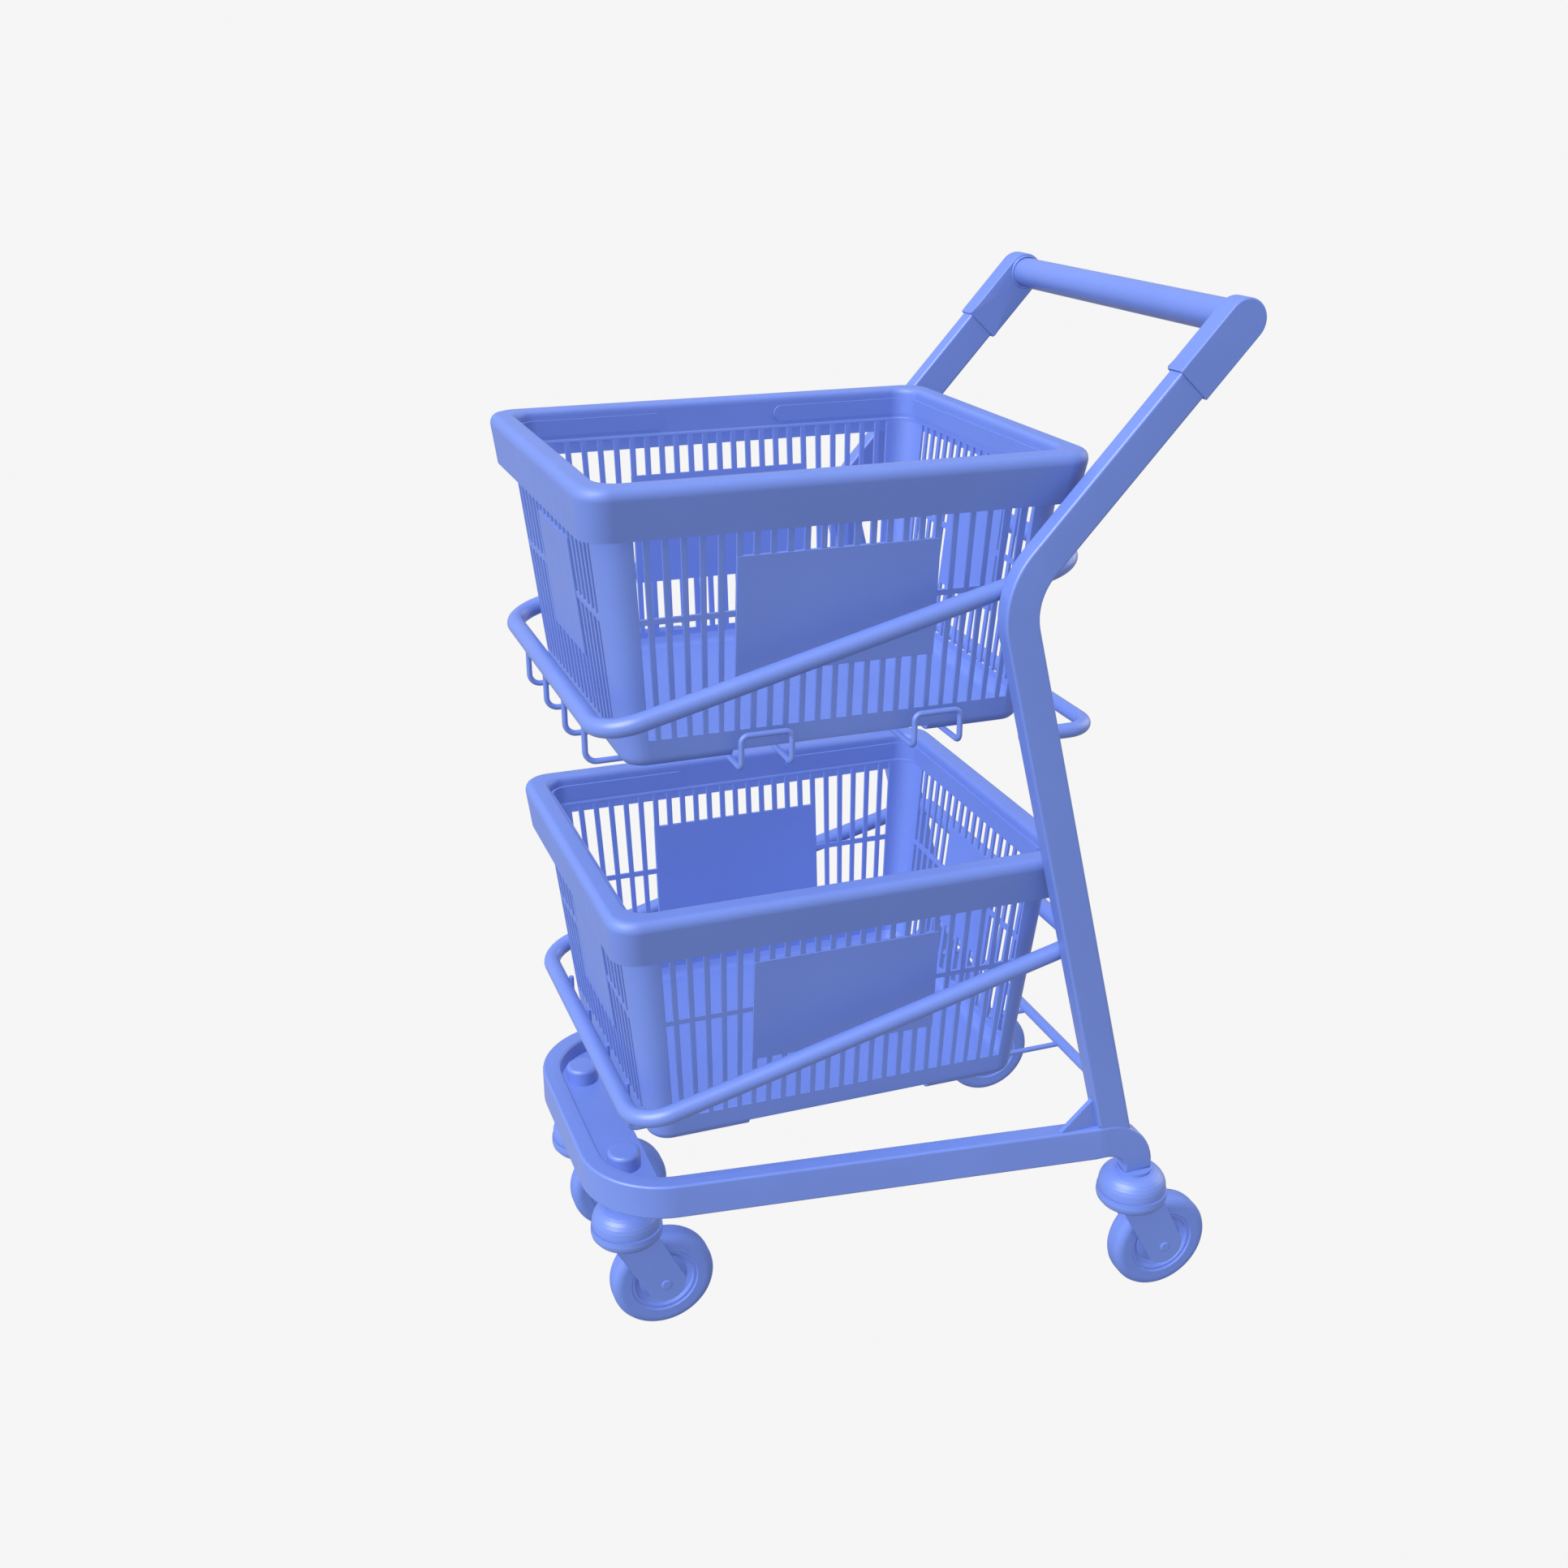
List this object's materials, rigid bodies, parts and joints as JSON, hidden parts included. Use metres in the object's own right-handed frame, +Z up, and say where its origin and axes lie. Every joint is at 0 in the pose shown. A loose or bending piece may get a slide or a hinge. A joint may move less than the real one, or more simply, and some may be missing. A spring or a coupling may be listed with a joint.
{
  "type": "rolling basket trolley",
  "caption": "Shopping trolley frame on swivel casters, with leaning uprights, a push bar and lift-out hand baskets in sloping ring holders.",
  "frame": {"origin": "on the floor, under the centre of the overall box", "axes": "+Z up; the front of the trolley faces -X and the push bar is at +X; left is -Y and right is +Y"},
  "size_m": [0.5978, 0.45, 0.9528],
  "materials": {
    "frame_paint": "semi-gloss",
    "bar_metal": "satin",
    "cap_plastic": "satin",
    "plated_metal": "semi-gloss",
    "wheel_plastic": "satin",
    "tyre_rubber": "matte",
    "basket_plastic": "satin",
    "basket_handle_plastic": "satin"
  },
  "bodies": {
    "frame": {"base_tube": "frame_paint", "upright_left": "frame_paint", "upright_right": "frame_paint", "gusset_left": "frame_paint", "gusset_right": "frame_paint", "front_plate": "frame_paint", "upper_ring": "frame_paint", "lower_ring": "frame_paint", "upper_rear_loop": "frame_paint", "lower_crossbar": "frame_paint", "upper_cradle_wires": "frame_paint", "upper_stop_loops": "frame_paint", "lower_cradle_wires": "frame_paint", "end_cap_left": "cap_plastic", "end_cap_right": "cap_plastic", "push_bar": "bar_metal", "front_cap_nuts": "plated_metal", "front_left_housing": "plated_metal", "front_right_housing": "plated_metal", "rear_left_housing": "plated_metal", "rear_right_housing": "plated_metal"},
    "front_left_caster": {"front_left_fork": "plated_metal", "front_left_axle": "plated_metal"},
    "front_left_wheel": {"front_left_wheel_centre": "wheel_plastic", "front_left_tyre": "tyre_rubber"},
    "front_right_caster": {"front_right_fork": "plated_metal", "front_right_axle": "plated_metal"},
    "front_right_wheel": {"front_right_wheel_centre": "wheel_plastic", "front_right_tyre": "tyre_rubber"},
    "rear_left_caster": {"rear_left_fork": "plated_metal", "rear_left_axle": "plated_metal"},
    "rear_left_wheel": {"rear_left_wheel_centre": "wheel_plastic", "rear_left_tyre": "tyre_rubber"},
    "rear_right_caster": {"rear_right_fork": "plated_metal", "rear_right_axle": "plated_metal"},
    "rear_right_wheel": {"rear_right_wheel_centre": "wheel_plastic", "rear_right_tyre": "tyre_rubber"},
    "upper_basket": {"upper_basket": "basket_plastic"},
    "upper_handle_front_arm": {"upper_handle_front": "basket_handle_plastic"},
    "upper_handle_rear_arm": {"upper_handle_rear": "basket_handle_plastic"},
    "lower_basket": {"lower_basket": "basket_plastic"},
    "lower_handle_front_arm": {"lower_handle_front": "basket_handle_plastic"},
    "lower_handle_rear_arm": {"lower_handle_rear": "basket_handle_plastic"}
  },
  "joints": [
    {"name": "front_left_swivel", "type": "hinge", "parent": "frame", "child": "front_left_caster", "pos_m": [-0.259, -0.0795, 0.11], "axis": [0, 0, 1], "continuous": true},
    {"name": "front_left_spin", "type": "hinge", "parent": "front_left_caster", "child": "front_left_wheel", "pos_m": [-0.2267, -0.0795, 0.05], "axis": [0, 1, 0], "continuous": true},
    {"name": "front_right_swivel", "type": "hinge", "parent": "frame", "child": "front_right_caster", "pos_m": [-0.259, 0.0795, 0.11], "axis": [0, 0, 1], "continuous": true},
    {"name": "front_right_spin", "type": "hinge", "parent": "front_right_caster", "child": "front_right_wheel", "pos_m": [-0.2267, 0.0795, 0.05], "axis": [0, 1, 0], "continuous": true},
    {"name": "rear_left_swivel", "type": "hinge", "parent": "frame", "child": "rear_left_caster", "pos_m": [0.2166, -0.191, 0.11], "axis": [0, 0, 1], "continuous": true},
    {"name": "rear_left_spin", "type": "hinge", "parent": "rear_left_caster", "child": "rear_left_wheel", "pos_m": [0.2489, -0.191, 0.05], "axis": [0, 1, 0], "continuous": true},
    {"name": "rear_right_swivel", "type": "hinge", "parent": "frame", "child": "rear_right_caster", "pos_m": [0.2166, 0.191, 0.11], "axis": [0, 0, 1], "continuous": true},
    {"name": "rear_right_spin", "type": "hinge", "parent": "rear_right_caster", "child": "rear_right_wheel", "pos_m": [0.2489, 0.191, 0.05], "axis": [0, 1, 0], "continuous": true},
    {"name": "upper_basket_lift", "type": "slide", "parent": "frame", "child": "upper_basket", "axis": [0, 0, 1], "range_m": [0, 0.26]},
    {"name": "upper_handle_front_hinge", "type": "hinge", "parent": "upper_basket", "child": "upper_handle_front_arm", "pos_m": [-0.143, 0, 0.818], "axis": [0, 1, 0], "range_deg": [0, 110]},
    {"name": "upper_handle_rear_hinge", "type": "hinge", "parent": "upper_basket", "child": "upper_handle_rear_arm", "pos_m": [-0.019, 0, 0.818], "axis": [0, -1, 0], "range_deg": [0, 110]},
    {"name": "lower_basket_lift", "type": "slide", "parent": "frame", "child": "lower_basket", "axis": [0, 0, 1], "range_m": [0, 0.055]},
    {"name": "lower_handle_front_hinge", "type": "hinge", "parent": "lower_basket", "child": "lower_handle_front_arm", "pos_m": [-0.1312, 0, 0.46], "axis": [0, 1, 0], "range_deg": [0, 26]},
    {"name": "lower_handle_rear_hinge", "type": "hinge", "parent": "lower_basket", "child": "lower_handle_rear_arm", "pos_m": [-0.0072, 0, 0.46], "axis": [0, -1, 0], "range_deg": [0, 26]}
  ]
}
